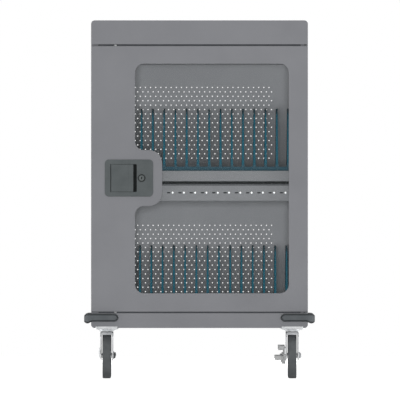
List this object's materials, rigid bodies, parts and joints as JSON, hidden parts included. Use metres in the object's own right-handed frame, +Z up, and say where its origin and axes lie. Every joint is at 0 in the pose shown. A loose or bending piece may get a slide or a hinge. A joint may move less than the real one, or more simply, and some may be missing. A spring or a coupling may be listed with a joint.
{
  "type": "laptop charging cart",
  "caption": "Steel cabinet on swivel casters that stores and charges laptops in upright bays on two shelves behind one lockable door with a clear window.",
  "frame": {"origin": "on the floor under the middle of the cart's outer box", "axes": "+Z up, +Y from the door towards the rear panel, +X to the right as seen from the front"},
  "size_m": [0.6388, 0.4888, 0.992],
  "materials": {
    "powder_coat": "fine-textured grey powder coat",
    "hub_coat": "smooth grey powder coat",
    "rack_plastic": "moulded teal plastic",
    "dark_plastic": "fine spark texture",
    "light_pipe": "milky clear",
    "lock_plastic": "fine spark texture",
    "lock_metal": "satin",
    "bumper_rubber": "matt",
    "zinc_steel": "bright zinc plate",
    "tyre_rubber": "matt grey rubber",
    "core_plastic": "moulded",
    "window_clear": "clear acrylic",
    "supply_metal": "plain"
  },
  "bodies": {
    "cabinet": {"base_pan": "powder_coat", "left_side_panel": "powder_coat", "right_side_panel": "powder_coat", "rear_panel": "powder_coat", "top_hood": "powder_coat", "shelf_upper": "powder_coat", "shelf_lower": "powder_coat", "hub_housing_upper": "hub_coat", "hub_housing_lower": "hub_coat", "port_bar_upper": "dark_plastic", "port_bar_lower": "dark_plastic", "light_pipe_upper": "light_pipe", "light_pipe_lower": "light_pipe", "divider_rack_upper_1": "rack_plastic", "divider_rack_upper_2": "rack_plastic", "divider_rack_upper_3": "rack_plastic", "divider_rack_lower_1": "rack_plastic", "divider_rack_lower_2": "rack_plastic", "divider_rack_lower_3": "rack_plastic", "bumper_front_left": "bumper_rubber", "bumper_front_right": "bumper_rubber", "bumper_rear_left": "bumper_rubber", "bumper_rear_right": "bumper_rubber", "caster_plate_front_left": "zinc_steel", "caster_plate_front_right": "zinc_steel", "caster_plate_rear_left": "zinc_steel", "caster_plate_rear_right": "zinc_steel", "door_pivot_upper": "zinc_steel", "door_pivot_lower": "zinc_steel", "power_supply": "supply_metal", "power_inlet": "dark_plastic"},
    "door": {"door_panel": "powder_coat", "window_pane": "window_clear", "lock_body": "lock_plastic", "lock_cylinder": "lock_metal"},
    "paddle": {"lock_paddle": "lock_plastic"},
    "key": {"key_plug": "lock_metal"},
    "rod_upper": {"latch_rod_upper": "zinc_steel"},
    "rod_lower": {"latch_rod_lower": "zinc_steel"},
    "swivel_front_left": {"caster_fork_front_left": "zinc_steel", "axle_bolt_front_left": "zinc_steel"},
    "wheel_front_left": {"wheel_tyre_front_left": "tyre_rubber", "wheel_core_front_left": "core_plastic"},
    "swivel_front_right": {"caster_fork_front_right": "zinc_steel", "axle_bolt_front_right": "zinc_steel"},
    "wheel_front_right": {"wheel_tyre_front_right": "tyre_rubber", "wheel_core_front_right": "core_plastic"},
    "swivel_rear_left": {"caster_fork_rear_left": "zinc_steel", "axle_bolt_rear_left": "zinc_steel"},
    "wheel_rear_left": {"wheel_tyre_rear_left": "tyre_rubber", "wheel_core_rear_left": "core_plastic"},
    "swivel_rear_right": {"caster_fork_rear_right": "zinc_steel", "axle_bolt_rear_right": "zinc_steel"},
    "wheel_rear_right": {"wheel_tyre_rear_right": "tyre_rubber", "wheel_core_rear_right": "core_plastic"},
    "brake_front_right": {"brake_rocker_front_right": "zinc_steel"},
    "brake_rear_right": {"brake_rocker_rear_right": "zinc_steel"},
    "rocker": {"switch_rocker": "dark_plastic"}
  },
  "joints": [
    {"name": "door_swing", "type": "hinge", "parent": "cabinet", "child": "door", "pos_m": [0.2935, -0.2185, 0.1855], "axis": [0, 0, 1], "range_deg": [0, 180]},
    {"name": "paddle_pull", "type": "hinge", "parent": "door", "child": "paddle", "pos_m": [-0.2428, -0.225, 0.5555], "axis": [0, 0, -1], "range_deg": [0, 35], "stiffness_Nm_per_rad": 0.25},
    {"name": "key_turn", "type": "hinge", "parent": "door", "child": "key", "pos_m": [-0.1602, -0.225, 0.5555], "axis": [0, 1, 0], "range_deg": [0, 90]},
    {"name": "rod_upper_slide", "type": "slide", "parent": "door", "child": "rod_upper", "axis": [0, 0, 1], "range_m": [0, 0.012]},
    {"name": "rod_lower_slide", "type": "slide", "parent": "door", "child": "rod_lower", "axis": [0, 0, -1], "range_m": [0, 0.012]},
    {"name": "swivel_front_left_turn", "type": "hinge", "parent": "cabinet", "child": "swivel_front_left", "pos_m": [-0.2575, -0.143, 0.13], "axis": [0, 0, 1], "continuous": true},
    {"name": "wheel_front_left_roll", "type": "hinge", "parent": "swivel_front_left", "child": "wheel_front_left", "pos_m": [-0.2575, -0.105, 0.0625], "axis": [1, 0, 0], "continuous": true},
    {"name": "swivel_front_right_turn", "type": "hinge", "parent": "cabinet", "child": "swivel_front_right", "pos_m": [0.2575, -0.143, 0.13], "axis": [0, 0, 1], "continuous": true},
    {"name": "wheel_front_right_roll", "type": "hinge", "parent": "swivel_front_right", "child": "wheel_front_right", "pos_m": [0.2575, -0.105, 0.0625], "axis": [1, 0, 0], "continuous": true},
    {"name": "brake_front_right_press", "type": "hinge", "parent": "swivel_front_right", "child": "brake_front_right", "pos_m": [0.2575, -0.105, 0.0625], "axis": [1, 0, 0], "range_deg": [0, 25]},
    {"name": "swivel_rear_left_turn", "type": "hinge", "parent": "cabinet", "child": "swivel_rear_left", "pos_m": [-0.2575, 0.143, 0.13], "axis": [0, 0, 1], "continuous": true},
    {"name": "wheel_rear_left_roll", "type": "hinge", "parent": "swivel_rear_left", "child": "wheel_rear_left", "pos_m": [-0.2575, 0.181, 0.0625], "axis": [1, 0, 0], "continuous": true},
    {"name": "swivel_rear_right_turn", "type": "hinge", "parent": "cabinet", "child": "swivel_rear_right", "pos_m": [0.2575, 0.143, 0.13], "axis": [0, 0, 1], "continuous": true},
    {"name": "wheel_rear_right_roll", "type": "hinge", "parent": "swivel_rear_right", "child": "wheel_rear_right", "pos_m": [0.2575, 0.181, 0.0625], "axis": [1, 0, 0], "continuous": true},
    {"name": "brake_rear_right_press", "type": "hinge", "parent": "swivel_rear_right", "child": "brake_rear_right", "pos_m": [0.2575, 0.181, 0.0625], "axis": [1, 0, 0], "range_deg": [0, 25]},
    {"name": "switch_press", "type": "hinge", "parent": "cabinet", "child": "rocker", "pos_m": [0.1655, 0.225, 0.161], "axis": [1, 0, 0], "range_deg": [0, 14]}
  ],
  "couplings": [
    {"joint": "rod_lower_slide", "follows": "rod_upper_slide", "ratio": 1},
    {"joint": "key_turn", "follows": "rod_upper_slide", "rad_per_m": 130.89}
  ]
}
